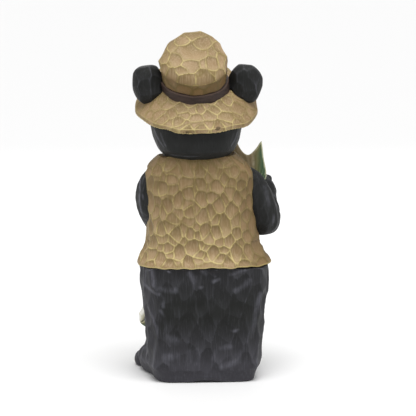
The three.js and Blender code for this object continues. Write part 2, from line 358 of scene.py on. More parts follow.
def show(mesh, name, material):
    mesh.materials.clear()
    mesh.materials.append(material)
    mesh.polygons.foreach_set("use_smooth", np.ones(len(mesh.polygons), bool))
    mesh.polygons.foreach_set("material_index", np.zeros(len(mesh.polygons), np.int32))
    piece = bpy.data.objects.new(name, mesh)
    bpy.context.collection.objects.link(piece)
    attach(piece, BODY)
    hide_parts(NODE)
    return piece


def brushed_by(points, strokes):
    """How strongly dry-brush strokes touch each point. A stroke is its half width, its strength and
    the places that it passes."""
    most = np.zeros(len(points))
    for half_width, strength, *places in strokes:
        places = np.array(places, float)
        for a, b in zip(places, places[1:]):
            way = b - a
            along = np.clip((points - a) @ way / (way @ way), 0, 1)
            gap = np.linalg.norm(points - a - along[:, None] * way, axis=1)
            touch = np.clip(1 - gap / half_width, 0, 1)
            most = np.maximum(most, strength * touch * touch * (3 - 2 * touch))
    return most


def carved(name, field, low, high, step, layout, material, slot, strokes=None, coat=None):
    """A carved piece: a field's skin, split once, with its gouge cuts and the paint's masks.
    strokes adds relief of its own, and the last argument says where the pale coat is heavy; on the
    vest and the crown, where it is thin, the darker colour is also painted shade."""
    points, quads = skin_of(field, low, high, step)
    points, normals = settle(field, points, 1)
    cuts = gouge(points, normals, layout) if layout else None
    mesh = halved(name, points, quads) if FINE else new_mesh(name, points, quads)
    points, normals = settle(field, of_each_point(mesh, "co"))
    plain = np.zeros(len(points))
    sink, crest, sharp, tone, lift = plain, plain + 6, plain, plain, plain
    if cuts:
        sink, crest, sharp, tone, lift = scoop(points, normals, cuts, layout["soft"])
        if "fade" in layout:
            fade = layout["fade"](points)
            sink, sharp, lift = sink * fade, sharp * fade, lift * fade
    if strokes:
        sink = sink + strokes(points, normals)
    points = points + sink[:, None] * normals
    mesh.vertices.foreach_set("co", points.ravel())
    mesh.update()
    coat_and_shade_share = coat(points) if coat else plain
    brushed = brushed_by(points, BRUSH_STROKES) if material is FUR else plain
    # How far each point lies in a hollow, where a dark wash and painted shade go
    set_values(mesh, crest=crest, sharp=sharp, tone=tone, lift=lift, worn=bulge_of(mesh, 2),
               wash=-bulge_of(mesh, 14), coat=coat_and_shade_share, brushed=brushed)
    return finish_piece(mesh, name, material, points)


# ---------------------------------------------------------------- materials


def linear(hex_colour):
    """An sRGB hex colour as linear RGBA."""
    parts = [int(hex_colour[i : i + 2], 16) / 255 for i in (1, 3, 5)]
    return [c / 12.92 if c <= 0.04045 else ((c + 0.055) / 1.055) ** 2.4 for c in parts] + [1.0]


def add(tree, kind, inputs=None, **settings):
    """Adds a node with its settings. An input is a value or the output it is linked to."""
    made = tree.nodes.new(kind)
    for key, value in settings.items():
        setattr(made, key, value)
    for socket, value in (inputs or {}).items():
        if isinstance(value, bpy.types.NodeSocket):
            tree.links.new(value, made.inputs[socket])
        else:
            made.inputs[socket].default_value = value
    return made


def pattern(tree, size_mm, detail=3.0, stretch=(1, 1, 1)):
    """A cloudy pattern whose patches are about size_mm across, longer along a stretched axis."""
    place = add(tree, "ShaderNodeTexCoord").outputs["Object"]
    scale = [1 / s for s in stretch]
    placed = add(tree, "ShaderNodeMapping", {"Vector": place, "Scale": scale}).outputs[0]
    inputs = {"Vector": placed, "Scale": 1 / (size_mm * MM), "Detail": detail, "Roughness": 0.55}
    return add(tree, "ShaderNodeTexNoise", inputs).outputs[0]


def share(tree, *steps):
    """Some values multiplied. Each is an attribute's name, an output or a number; with where it
    starts and ends, and what it gives there, it is a soft step first."""
    total = None
    for value, *limits in steps:
        if isinstance(value, str):
            value = add(tree, "ShaderNodeAttribute", attribute_name=value).outputs["Fac"]
        if limits:
            ends = dict(zip(("From Min", "From Max", "To Min", "To Max"), limits), Value=value)
            step = add(tree, "ShaderNodeMapRange", ends, interpolation_type="SMOOTHSTEP")
            value = step.outputs[0]
        if total is not None:
            both = {0: total, 1: value}
            value = add(tree, "ShaderNodeMath", both, operation="MULTIPLY").outputs[0]
        total = value
    return total


def coated(tree, under, over, *steps):
    """Paint over paint, laid on as heavily as the steps' share. Sockets 6 and 7 of a Mix node are
    its two colours."""
    under, over = (linear(c) if isinstance(c, str) else c for c in (under, over))
    inputs = {0: share(tree, *steps), 6: under, 7: over}
    return add(tree, "ShaderNodeMix", inputs, data_type="RGBA").outputs[2]


def paint(name, colour_of, roughness, bump_mm=0.25, grain=(1.2, 1.2, 9), specular=0.3):
    """Matt paint on cast resin. colour_of builds its colour. The fine relief is the brush's marks,
    which are really 0.3 mm apart: too fine to show, so they are drawn 1.6 mm apart."""
    material = bpy.data.materials.new(name)
    material.use_nodes = True
    tree = material.node_tree
    shader = tree.nodes["Principled BSDF"]
    shader.inputs["Roughness"].default_value = roughness
    shader.inputs["IOR"].default_value = 1.48
    shader.inputs["Specular IOR Level"].default_value = specular
    tree.links.new(colour_of(tree), shader.inputs["Base Color"])
    relief = pattern(tree, 1.6, 3.0, grain)
    bump = {"Height": relief, "Distance": bump_mm * MM, "Strength": 0.8}
    tree.links.new(add(tree, "ShaderNodeBump", bump).outputs[0], shader.inputs["Normal"])
    return material


def tan_colour(tree):
    """Tan acrylic on gouged resin: an olive-brown coat, pinker in each hollow and paler where more
    was brushed on. Each hollow has painted shade under its upper lip and a painted highlight on its
    lower one, as if lit from above; a thin pale yellow dry-brush line marks the sharper crests,
    mostly on the lit lower lips. The bristle marks are drawn coarser than real ones, 1.9 mm for
    0.3 mm, so that they show."""
    cloudy = pattern(tree, 34, 2.0)
    streaky = pattern(tree, 1.9, 2.0, (1, 1, 8))
    dark = coated(tree, "#5c4728", "#6c5431", ("tone",))
    pale = coated(tree, "#897251", "#98805f", ("tone",))
    olive = coated(tree, "#4d3f1d", "#7c6b41", ("coat",))
    # Where the pale coat is thin the tan stays dark; on the vest's top and the lower crown this
    # darkness is also painted shade
    base = coated(tree, dark, pale, ("coat",))
    base = coated(tree, base, olive, ("crest", 4.4, 0.8, 0.0, 0.75))
    base = coated(tree, base, olive, (cloudy, 0.42, 0.68, 0.0, 0.45))
    # Painted shade under the upper lip of each hollow, and a painted highlight on its lower lip, as
    # if lit from above
    base = coated(tree, base, "#5b4a22", ("lift", 0.0, 0.75, 0.0, 0.4))
    lit_lower_lip = ("lift", 0.0, -0.8, 0.0, 0.34)
    base = coated(tree, base, "#b7a07a", lit_lower_lip, ("coat", 0.1, 0.9, 0.2, 1.0))
    base = coated(tree, base, "#b8a486", (streaky, 0.4, 0.72), ("coat",), (0.3,))
    # Dark in the hollows: a brown wash, and painted shade there as well
    base = coated(tree, base, "#3c2e18", ("wash", 0.08, 0.2, 0.0, 0.7))
    patchy = (pattern(tree, 14, 4.0), 0.38, 0.58, share(tree, ("coat",), (0.35,)), 1.0)
    # The pale dry-brush line is kept mostly to the lower lips, where it adds to the painted
    # highlight
    crest = (("crest", 1.7, 0.1), ("sharp", 0.1, 0.5), ("lift", 0.4, -0.2, 0.3, 1.0))
    line = share(tree, *crest, patchy, ("coat", 0.12, 0.9, 0.1, 0.85))
    edge = share(tree, ("worn", 0.08, 0.28, 0.0, 0.7))
    brushed = add(tree, "ShaderNodeMath", {0: line, 1: edge}, operation="MAXIMUM").outputs[0]
    yellow = coated(tree, "#8f7c42", "#c3b27a", ("coat",))
    return coated(tree, base, yellow, (brushed,))


def fur_colour(tree):
    """Black acrylic, laid on in long strokes, with painted shade at the top of each cut and a
    painted highlight on its lower part, as if lit from above. A dry brush of blue-grey catches the
    raised edges. The strokes are drawn coarser than real bristle marks, 1.7 mm for 0.3 mm, so that
    they show."""
    streaky = pattern(tree, 1.7, 4.0, (1, 1, 16))
    cloudy = pattern(tree, 40, 2.0)
    coat = share(tree, ("coat",))
    streaks = add(tree, "ShaderNodeMath", {0: coat, 1: 0.5}, operation="ADD").outputs[0]
    lit = add(tree, "ShaderNodeMath", {0: coat, 1: 0.35}, operation="ADD").outputs[0]
    base = coated(tree, "#131412", "#1b1c1b", (cloudy, 0.35, 0.7))
    base = coated(tree, base, "#343338", (coat,))
    base = coated(tree, base, "#4a4a50", (streaky, 0.48, 0.75), (streaks,), (0.38,))
    # Painted shade in the upper part of each cut, and a painted highlight on its lower part, as if
    # lit from above
    base = coated(tree, base, "#0f100f", ("lift", 0.1, 0.9, 0.0, 0.4))
    base = coated(tree, base, "#4c4c52", ("lift", 0.0, -0.9, 0.0, 0.3), (lit,))
    line = share(tree, ("crest", 3.5, 0.2), ("sharp", 0.25, 0.8), (cloudy, 0.4, 0.62), (0.06,))
    edge = share(tree, ("worn", 0.04, 0.24, 0.0, 0.28))
    pulled = share(tree, ("brushed",), (pattern(tree, 7, 3.0, (1, 1, 1.6)), 0.3, 0.62, 0.5, 1.15))
    most = add(tree, "ShaderNodeMath", {0: line, 1: edge}, operation="MAXIMUM").outputs[0]
    most = add(tree, "ShaderNodeMath", {0: most, 1: pulled}, operation="MAXIMUM").outputs[0]
    base = coated(tree, base, "#74747e", (most,), (streaky, 0.3, 0.7, 0.5, 1.0))
    # Near-black in the hollows: a dark wash, and painted shade there as well
    return coated(tree, base, "#0c0c0c", ("wash", 0.03, 0.12, 0.0, 0.8))


def band_colour(tree):
    """Maroon-brown acrylic, darker in the brush marks."""
    streaky = pattern(tree, 2.4, 3.0, (6, 6, 1))
    base = coated(tree, "#2c211d", "#3b2e29", (streaky, 0.3, 0.7))
    return coated(tree, base, "#544238", ("worn", 0.06, 0.25, 0.0, 0.6))


def muzzle_colour(tree):
    """Brown acrylic, dry-brushed tan over the short strokes of the muzzle's fur."""
    streaky = pattern(tree, 2.0, 3.0, (1, 6, 1))
    base = coated(tree, "#6b4f33", "#92714c", (streaky, 0.3, 0.7))
    base = coated(tree, base, "#b79b70", ("worn", 0.03, 0.14, 0.0, 0.8))
    # Dark in the hollows: a brown wash, and painted shade there as well
    return coated(tree, base, "#2b2018", ("wash", 0.01, 0.08, 0.0, 0.8))


def fish_colour(tree):
    """Green back, olive flank and cream belly, run into each other wet."""
    mottled = share(tree, (pattern(tree, 7, 4.0),), (0.35,))
    sides = {0: share(tree, ("belly",)), 1: mottled}
    shifted = add(tree, "ShaderNodeMath", sides, operation="ADD").outputs[0]
    base = coated(tree, "#3f5a3a", "#66653c", (shifted, 0.30, 0.55))
    base = coated(tree, base, "#b6b39c", (shifted, 0.58, 0.85))
    base = coated(tree, base, "#e4e3dc", (shifted, 0.9, 1.15))
    base = coated(tree, base, "#c9c5a2", ("worn", 0.04, 0.2, 0.0, 0.6))
    base = coated(tree, base, "#7f6c4a", ("tanned",), (0.85,))
    # Dark in the hollows: a green-black wash, and painted shade there as well
    return coated(tree, base, "#2c3424", ("wash", 0.02, 0.12, 0.0, 0.8))


def claw_colour(tree):
    """Horn-coloured acrylic, a little cloudy."""
    return coated(tree, "#8b7a5c", "#b8a884", (pattern(tree, 1.5, 3.0), 0.3, 0.7))


def enamel_colour(tree):
    """Black gloss enamel, laid on thick so that it levels."""
    return coated(tree, "#0b0b0c", "#151415", (pattern(tree, 12), 0.3, 0.7))


TAN = paint("tan acrylic on gouged resin", tan_colour, 0.62)
FUR = paint("black acrylic on gouged resin", fur_colour, 0.55, 0.6, (1.2, 1.2, 16), 0.22)
BAND = paint("maroon acrylic on resin", band_colour, 0.6)
MUZZLE = paint("brown acrylic on resin", muzzle_colour, 0.6)
FISH = paint("green and cream acrylic on resin", fish_colour, 0.42, 0.12, (1, 1, 1), 0.45)
CLAW = paint("horn acrylic on resin", claw_colour, 0.4, 0.1)
ENAMEL = paint("black gloss enamel", enamel_colour, 0.12, 0.02, (1, 1, 1), 0.5)


# Where a brush of nearly dry blue-grey was pulled over the black fur
BRUSH_STROKES = [
    (3.5, 0.55, (70, 55, 158), (61, 58, 164)),
    (3.5, 0.75, (54, 60, 165), (46, 61, 163), (37, 61, 160)),
    (4.5, 0.8, (-10, 59, 149), (-23, 61, 154), (-37, 61, 161), (-56, 60, 166)),
    (8, 0.45, (23, 61, 162), (17, 61, 153)),
    (4, 0.5, (17, 61, 148), (13, 60, 157)),
    (6, 0.35, (6, 59, 167), (0, 59, 161)),
    (4, 0.55, (8, 59, 141), (0, 59, 142)),
    (7, 0.3, (68, 55, 138), (43, 60, 137)),
    (7, 0.35, (-43, 60, 136), (-53, 60, 140), (-63, 59, 150)),
    (5, 0.45, (89, 28, 143), (78, 48, 135), (65, 56, 131), (60, 57, 124), (61, 56, 113)),
    (4.5, 0.55, (83, 33, 108), (77, 45, 95), (71, 49, 81), (70, 49, 68)),
    (4.5, 0.35, (65, 54, 107), (58, 56, 97), (57, 56, 85), (61, 54, 73)),
    (4, 0.6, (-29, 57, 79), (-39, 57, 76), (-49, 56, 78)),
    (7, 0.4, (-22, 56, 51), (-36, 56, 54)),
    (7, 0.35, (-23, 56, 24), (-44, 56, 31)),
    (7, 0.4, (-70, 52, 67), (-73, 52, 99), (-80, 49, 128)),
    (5, 0.4, (77, 50, 163), (74, 52, 143)),
    (4, 0.35, (86, 37, 164), (87, 33, 146)),
    (9, 0.25, (54, 55, 68), (40, 56, 62)),
    (7, 0.3, (75, 43, 60), (77, 38, 21)),
    (5, 0.35, (-80, 43, 53), (-76, 46, 29)),
    (8, 0.25, (60, 54, 40), (40, 56, 40)),
    (5, 0.35, (-85, 40, 119), (-84, 38, 89)),
    (6, 0.3, (23, 56, 47), (21, 56, 32)),
    (5, 0.35, (13, 56, 50), (13, 56, 29)),
    (6, 0.35, (91, -41, 32), (84, -16, 40)),
    (5, 0.5, (91, -29, 24), (86, -15, 15)),
    (4, 0.45, (84, -1, 45), (81, 2, 16)),
    (6, 0.25, (-49, 56, 46), (-49, 56, 31)),
    (6, 0.2, (-15, 56, 46), (-9, 55, 35)),
    (3.5, 0.5, (72, 32, 364), (67, 39, 352), (60, 44, 341)),
    (3, 0.35, (64, 46, 361), (57, 49, 344)),
    (3, 0.4, (-47, 42, 362), (-44, 44, 353), (-38, 47, 343)),
    (3, 0.25, (-41, 50, 360), (-38, 51, 349)),
    (2.5, 0.3, (53, 44, 331), (36, 53, 329), (8, 56, 328)),
    (4, 0.6, (91, 1, 293), (93, 12, 276), (93, 10, 254), (89, 2, 236)),
    (3, 0.35, (86, 9, 296), (88, 17, 263)),
    (5, 0.35, (-97, 1, 282), (-109, -46, 260), (-107, 7, 251)),
    (7, 0.25, (-92, 14, 281), (-96, 18, 255)),
    (4, 0.4, (-87, 15, 287), (-91, 18, 267), (-97, 18, 252)),
    (4, 0.3, (-103, 15, 239), (-101, 13, 222)),
    (4, 0.3, (-69, 17, 305), (-68, 22, 282)),
]

# ---------------------------------------------------------------- legs and feet

HEM = 170.0
LEGS_X = -2.0
TOES = 4


def turn_z(degrees):
    """Own axes turned about +Z; the columns are the axes."""
    cos, sin = math.cos(math.radians(degrees)), math.sin(math.radians(degrees))
    return np.array([[cos, -sin, 0], [sin, cos, 0], Z])


FEET = {1: ((51, -42, 20), 18), -1: ((-45, -42, 18), 8)}


def toe_line(side, i, reach):
    """A place on a toe, at a reach from the foot's middle, and the toe's direction."""
    centre, turn_out = FEET[side]
    fan = math.radians(-26 + 52 * i / (TOES - 1) + side * turn_out)
    way = np.array([math.sin(fan), -math.cos(fan), 0])
    return np.array([centre[0], centre[1], 0]) + way * reach, way


def foot(points, side):
    centre, turn_out = FEET[side]
    shape = egg(points, centre, (40, 51, 29), turn_z(side * turn_out))
    for i in range(TOES):
        place, way = toe_line(side, i, 44)
        turn = np.stack([np.cross(Z, -way), -way, Z], axis=1)
        shape = fuse(shape, egg(points, place + 12 * Z, (11.5, 19, 14), turn), 2.5)
    return shape


def legs(points):
    shape = None
    for side in (1, -1):
        middle = LEGS_X + side * 41
        sections = [
            [-8, 25, 40, middle, 0],
            [5, 33, 47, middle, 0],
            [22, 41.5, 54.5, middle, -1],
            [66, 43, 55, middle, -2],
            [112, 47, 58, middle, -3],
            [144, 51, 61, middle, -4],
            [171, 49, 60, middle, -4],
            [HEM + 8, 40, 54, middle, -4],
        ]
        leg = fuse(stack(points, sections, 3), foot(points, side), 14)
        shape = leg if shape is None else fuse(shape, leg, 10)
    between = [
        [4, 30, 40, LEGS_X, 9],
        [40, 34, 42, LEGS_X, 9],
        [90, 50, 50, LEGS_X, 4],
        [130, 82, 59, LEGS_X, -4],
        [171, 86, 60, LEGS_X, -4],
        [HEM + 8, 78, 54, LEGS_X, -4],
    ]
    shape = fuse(shape, stack(points, between, 3), 10) - 2.7
    pared = 0.9 * (-points[..., 0] - 72 - 0.47 * points[..., 2])  # off the right heel's outer side
    return within(within(shape, pared, 4), -points[..., 2], 4)


# The cuts that are set out one by one: x, y, z, width, length and share of the usual depth
LEG_CUTS = [
    (56, 59, 152, 29, 22, 1), (21, 61, 159, 16, 22, 0.5), (4, 59, 151, 14, 13, 1),
    (4, 59, 165, 13, 13, 0.6), (-33, 61, 165, 52, 16, 1.1), (-33, 61, 142, 32, 20, 0.9),
    (87, 33, 153, 22, 27, 0.8), (75, 51, 155, 16, 29, 0.8), (70, 53, 122, 18, 27, 1.1),
    (85, 33, 122, 25, 29, 0.9), (70, 51, 89, 14, 41, 1), (61, 55, 91, 11, 32, 0.7),
    (78, 42, 87, 16, 42, 0.8), (46, 59, 119, 29, 38, 0.6), (20, 59, 112, 29, 50, 0.5),
    (-12, 58, 108, 32, 50, 0.5), (-43, 59, 111, 29, 44, 0.6), (46, 56, 68, 26, 32, 0.6),
    (51, 56, 43, 26, 26, 0.7), (-38, 57, 89, 26, 28, 1), (-31, 56, 39, 25, 24, 0.9),
    (71, 48, 43, 20, 48, 1), (26, 56, 50, 20, 38, 0.6), (2, 55, 57, 20, 50, 0.6),
    (-57, 56, 49, 19, 38, 0.8), (-64, 56, 115, 15, 50, 0.8), (-74, 51, 94, 16, 60, 1),
    (-85, 45, 143, 22, 30, 0.9), (-75, 48, 44, 21, 38, 0.9), (49, 55, 18, 32, 22, 0.7),
    (17, 55, 17, 29, 22, 0.6), (-12, 54, 18, 26, 20, 0.6), (-40, 54, 13, 26, 20, 0.6),
    (-63, 53, 17, 22, 26, 0.9), (-13, 56, 52, 12, 44, 0.5),
]
fur_cuts = {"spacing": 19, "stroke": Z, "sway": 0.18, "length": 58, "width": 27, "depth": 2.3,
            "soft": 0.9}


def low_coat(points):
    """The black is thinner and greyer near the ground, on the outer sides and under the hem."""
    x, up = points[:, 0], points[:, 2]
    sides = 0.6 * np.clip((x - 60) / 16, 0, 1) + 0.35 * np.clip((-x - 72) / 14, 0, 1)
    top = 0.3 * np.clip((up - 118) / 30, 0, 1)
    return np.maximum(np.clip((95 - up) / 80, 0, 1), np.maximum(sides, top))


def near_sole(points):
    """Cuts run out just above the sole, so that the figure stands flat."""
    return np.clip((points[:, 2] - 2) / 30, 0, 1) ** 0.7


leg_cuts = {**fur_cuts, "placed": LEG_CUTS, "fade": near_sole, "spacing": 21, "depth": 4.5,
            "soft": 1.8}
carved("legs", legs, (-108, -130, -8), (114, 82, HEM + 26), 2.9, leg_cuts, FUR, "dark_fur_paint",
       coat=low_coat)

# ---------------------------------------------------------------- torso and vest

VEST_SECTIONS = [
    [HEM - 1, 98.5, 70, -2, -3],
    [180, 93, 67, 0, -4],
    [196, 85, 66, 0, -5],
    [214, 81, 66, 1, -6],
    [236, 79, 64, 3, -6],
    [260, 78, 61, 5, -5],
    [284, 79, 58, 6, -3],
    [302, 78, 54, 7, 0],
    [315, 71, 49, 8, 2],
    [328, 55, 41, 9, 3],
]


def chest(points):
    sections = [[z, wide - 7, deep - 7, x, y] for z, wide, deep, x, y in VEST_SECTIONS]
    belly = egg(points, (2, -26, 215), (46, 41, 50))
    return fuse(stack(points, sections + [[342, 42, 40, 10, 4]], 2.8), belly, 12)


def vest(points):
    x, y, up = np.moveaxis(points, -1, 0)
    hem = 0.012 * x + 0.6 * np.sin(x / 7) + 0.4 * np.sin(x / 3.1 + 1)
    outer = stack(points + hem[..., None] * Z, VEST_SECTIONS, 2.8, 1.6)
    gap = np.interp(up, [165, 180, 250, 332], [44, 34, 17, 34])
    middle = np.interp(up, [165, 250, 332], [0, 4, 9])
    opening = within(np.abs(x - middle) - gap, y + 12, 3)
    shape = minus(outer, opening, 3)
    shape = minus(shape, egg(points, (97, -14, 266), (33, 36, 47)), 3)
    return minus(shape, egg(points, (-84, -14, 264), (33, 36, 49)), 3)


VEST_CUTS = [
    (75, 21, 317, 27, 22, 1), (60, 38, 318, 16, 18, 0.8), (42, 50, 308, 29, 20, 1),
    (70, 41, 299, 16, 17, 1), (60, 47, 297, 14, 18, 1), (48, 51, 284, 17, 24, 1.1),
    (28, 54, 290, 20, 24, 1.1), (70, 40, 283, 17, 22, 1), (59, 47, 275, 12, 20, 0.7),
    (69, 40, 261, 17, 20, 1.1), (48, 52, 267, 18, 17, 0.9), (28, 55, 263, 20, 24, 1.2),
    (15, 55, 281, 13, 23, 0.9), (11, 56, 254, 17, 24, 1.1), (60, 47, 249, 18, 26, 0.8),
    (42, 54, 249, 23, 21, 0.9), (22, 57, 237, 20, 23, 0.8), (69, 40, 234, 16, 29, 0.8),
    (52, 52, 230, 26, 19, 1.1), (31, 58, 225, 16, 20, 1), (13, 58, 230, 17, 17, 0.9),
    (62, 47, 212, 22, 19, 1), (48, 55, 207, 18, 21, 1.1), (13, 60, 216, 20, 16, 1.1),
    (28, 59, 209, 19, 17, 0.9), (76, 34, 204, 25, 20, 0.9), (62, 49, 198, 18, 16, 1.1),
    (28, 60, 195, 21, 13, 1), (52, 56, 190, 24, 14, 1.2), (10, 61, 202, 20, 14, 1),
    (29, 62, 183, 17, 11, 0.9), (9, 62, 190, 21, 13, 1), (43, 60, 180, 14, 11, 0.8),
    (79, 39, 186, 32, 20, 0.8), (58, 56, 178, 18, 11, 0.8), (11, 63, 181, 17, 11, 0.8),
    (18, 51, 313, 14, 17, 0.8), (1, 50, 316, 14, 19, 1), (-17, 49, 318, 19, 19, 1),
    (-34, 45, 317, 19, 19, 1), (-50, 37, 316, 20, 31, 0.8), (-5, 54, 300, 17, 21, 0.9),
    (-19, 53, 304, 16, 20, 1.1), (-35, 49, 306, 17, 19, 1.1), (-53, 43, 298, 22, 23, 0.9),
    (-16, 54, 285, 22, 20, 1.1), (-36, 51, 288, 20, 19, 1.1), (-56, 42, 276, 27, 17, 1.1),
    (-10, 55, 271, 19, 17, 1.2), (-28, 54, 265, 13, 27, 1.1), (-42, 50, 260, 14, 17, 1.1),
    (-57, 42, 256, 18, 23, 1), (-9, 57, 250, 21, 23, 1.1), (-26, 57, 232, 20, 34, 1.3),
    (1, 58, 234, 17, 20, 0.9), (-44, 52, 236, 19, 29, 0.9), (-3, 60, 213, 19, 21, 1.1),
    (-20, 60, 207, 14, 19, 1), (-35, 58, 209, 18, 21, 1.1), (-57, 46, 231, 17, 34, 0.8),
    (-51, 54, 203, 19, 21, 1.1), (-2, 61, 200, 17, 14, 0.9), (-24, 61, 194, 23, 11, 1),
    (-19, 62, 184, 22, 14, 1.2), (-39, 60, 188, 16, 17, 0.9), (-53, 57, 186, 19, 17, 1),
    (-70, 34, 227, 26, 38, 0.7), (-75, 36, 198, 32, 31, 0.7), (-73, 47, 183, 23, 17, 0.9),
    (-1, 62, 187, 17, 14, 0.9), (-3, 55, 286, 11, 23, 0.7),
]


def near_hem(points):
    """Cuts run out towards the vest's edges, so that these stay whole."""
    x, up = points[:, 0], points[:, 2]
    ends = np.clip((up - HEM) / 10, 0.2, 1) * np.clip((327 - up) / 14, 0.3, 1)
    return ends * np.where(up > 205, np.clip((87 - np.abs(x - 5)) / 20, 0.4, 1), 1)


vest_cuts = {"placed": VEST_CUTS, "fade": near_hem, "spacing": 17, "stroke": Z, "sway": 0.2,
             "length": 30, "width": 23, "depth": 4.1, "soft": 0.4}


def vest_coat(points):
    """More pale paint was brushed on towards the hem, and the colour is darker on the bear's right
    side. Its thinning towards the top also paints the shade under the head and hat.
    """
    up = np.interp(points[:, 2], [170, 200, 230, 270, 310], [1.0, 0.88, 0.66, 0.52, 0.44])
    return up * np.interp(points[:, 0], [-84, -58, -38], [0.25, 0.55, 1.0])


carved("vest", vest, (-104, -84, 160), (106, 78, 340), 2.6, vest_cuts, TAN, "tan_paint",
       coat=vest_coat)
carved("chest", chest, (-98, -92, 158), (106, 76, 352), 3.4, {**fur_cuts, "depth": 1.6}, FUR,
       "dark_fur_paint")

# ---------------------------------------------------------------- arms and paws

ARMS = {
    1: [[60, 1, 294, 22], [71, -2, 275, 26], [72, -10, 248, 24], [62, -48, 222, 20],
        [44, -82, 192, 18]],
    -1: [[-52, -2, 298, 14], [-68, -2, 285, 21], [-80, -4, 258, 25], [-88, -8, 231, 26],
         [-95, -40, 236, 22], [-94, -62, 258, 19]],
}
PAWS = {
    1: {"palm": (38, -88, 184), "half": (23, 17, 20), "first": (14, -101, 187),
        "last": (44, -104, 165), "reach": (-13, -7, -19)},
    -1: {"palm": (-93, -68, 264), "half": (19, 19, 24), "first": (-95, -86, 280),
         "last": (-89, -90, 248), "reach": (21, -5, 3)},
}


def finger(side, i):
    """Where a finger starts, and the way it goes, its length and all."""
    paw = PAWS[side]
    first, last = np.array(paw["first"], float), np.array(paw["last"], float)
    return first + (last - first) * i / (TOES - 1), np.array(paw["reach"], float)


def arm(side):
    def field(points):
        paw = PAWS[side]
        shape = fuse(limb(points, ARMS[side]), egg(points, paw["palm"], paw["half"]), 10)
        for i in range(TOES):
            root, reach = finger(side, i)
            stations = [
                [*(root - 0.35 * reach), 8],
                [*(root + 0.3 * reach), 8.4],
                [*(root + 1.0 * reach), 6.6],
            ]
            shape = fuse(shape, limb(points, stations), 3.5)
        return shape

    return field


arm_cuts = {**fur_cuts, "spacing": 15, "length": 44, "width": 21, "depth": 1.8}
arm_boxes = {1: ((-6, -124, 136), (104, 34, 334)), -1: ((-124, -116, 190), (-22, 32, 334))}
for side, label in ((1, "left_arm"), (-1, "right_arm")):
    carved(label, arm(side), *arm_boxes[side], 2.4, arm_cuts, FUR, "dark_fur_paint")

# ---------------------------------------------------------------- claws and scales


CLAW_SIZES = {"Claw Length": 0.015, "Root Share": 0.33}
SCALE_SIZES = {"Scale Size": 0.0054, "Thickness": 0.2}


def growing_tree(name, sizes):
    """An empty Geometry Nodes tree with its points, named sizes and result, and a place to grow a
    shape on each point. Returns the tree, its inputs and the sockets of the sizes."""
    tree = bpy.data.node_groups.new(name, "GeometryNodeTree")
    tree.interface.new_socket("Geometry", in_out="INPUT", socket_type="NodeSocketGeometry")
    sockets = []
    for label, value in sizes.items():
        socket = tree.interface.new_socket(label, in_out="INPUT", socket_type="NodeSocketFloat")
        socket.default_value = value
        sockets.append(socket)
    tree.interface.new_socket("Geometry", in_out="OUTPUT", socket_type="NodeSocketGeometry")
    return tree, add(tree, "NodeGroupInput").outputs, sockets


def grow(tree, inputs, shape, size, material):
    """One copy of a shape on each point, turned and sized by the point's own attributes."""
    turn = add(tree, "GeometryNodeInputNamedAttribute", {"Name": "turn"}, data_type="FLOAT_VECTOR")
    own = add(tree, "GeometryNodeInputNamedAttribute", {"Name": "size"}, data_type="FLOAT")
    scale = {0: own.outputs[0], 1: size}
    scale = add(tree, "ShaderNodeMath", scale, operation="MULTIPLY").outputs[0]
    scale = add(tree, "ShaderNodeCombineXYZ", {0: scale, 1: scale, 2: scale}).outputs[0]
    copies = {"Points": inputs["Geometry"], "Instance": shape, "Rotation": turn.outputs[0]}
    copies = add(tree, "GeometryNodeInstanceOnPoints", {**copies, "Scale": scale}).outputs[0]
    real = add(tree, "GeometryNodeRealizeInstances", {"Geometry": copies}).outputs[0]
    named = add(tree, "GeometryNodeSetMaterial", {"Geometry": real, "Material": material})
    add(tree, "NodeGroupOutput", {"Geometry": named.outputs[0]})


def claw_tree():
    """A bent claw that tapers from its root to a blunt tip."""
    tree, inputs, sockets = growing_tree("claws", CLAW_SIZES)
    bend = {"Resolution": 9, "Start": (0, 0, 0), "Middle": (0.55, 0, 0.16), "End": (1, 0, -0.3)}
    spine = add(tree, "GeometryNodeCurveQuadraticBezier", bend).outputs[0]
    gone = add(tree, "GeometryNodeSplineParameter").outputs["Factor"]
    left = add(tree, "ShaderNodeMath", {0: 1.02, 1: gone}, operation="SUBTRACT").outputs[0]
    left = add(tree, "ShaderNodeMath", {0: left, 1: 0.62}, operation="POWER").outputs[0]
    taper = {0: left, 1: inputs["Root Share"]}
    taper = add(tree, "ShaderNodeMath", taper, operation="MULTIPLY").outputs[0]
    ring = add(tree, "GeometryNodeCurvePrimitiveCircle", {"Resolution": 14, "Radius": 1.0})
    tube = {"Curve": spine, "Profile Curve": ring.outputs[0], "Scale": taper, "Fill Caps": True}
    claw = add(tree, "GeometryNodeCurveToMesh", tube).outputs[0]
    grow(tree, inputs, claw, inputs["Claw Length"], CLAW)
    return tree, sockets


def scale_tree():
    """A thin oval plate that stands on the fish's skin like a shingle."""
    tree, inputs, sockets = growing_tree("fish_scales", SCALE_SIZES)
    plate = add(tree, "GeometryNodeMeshUVSphere", {"Segments": 9, "Rings": 6, "Radius": 1.0})
    flat = add(tree, "ShaderNodeCombineXYZ", {0: 1.15, 1: 0.95, 2: inputs["Thickness"]})
    plate = {"Geometry": plate.outputs[0], "Scale": flat.outputs[0]}
    plate = add(tree, "GeometryNodeTransform", plate).outputs[0]
    grow(tree, inputs, plate, inputs["Scale Size"], FISH)
    return tree, sockets


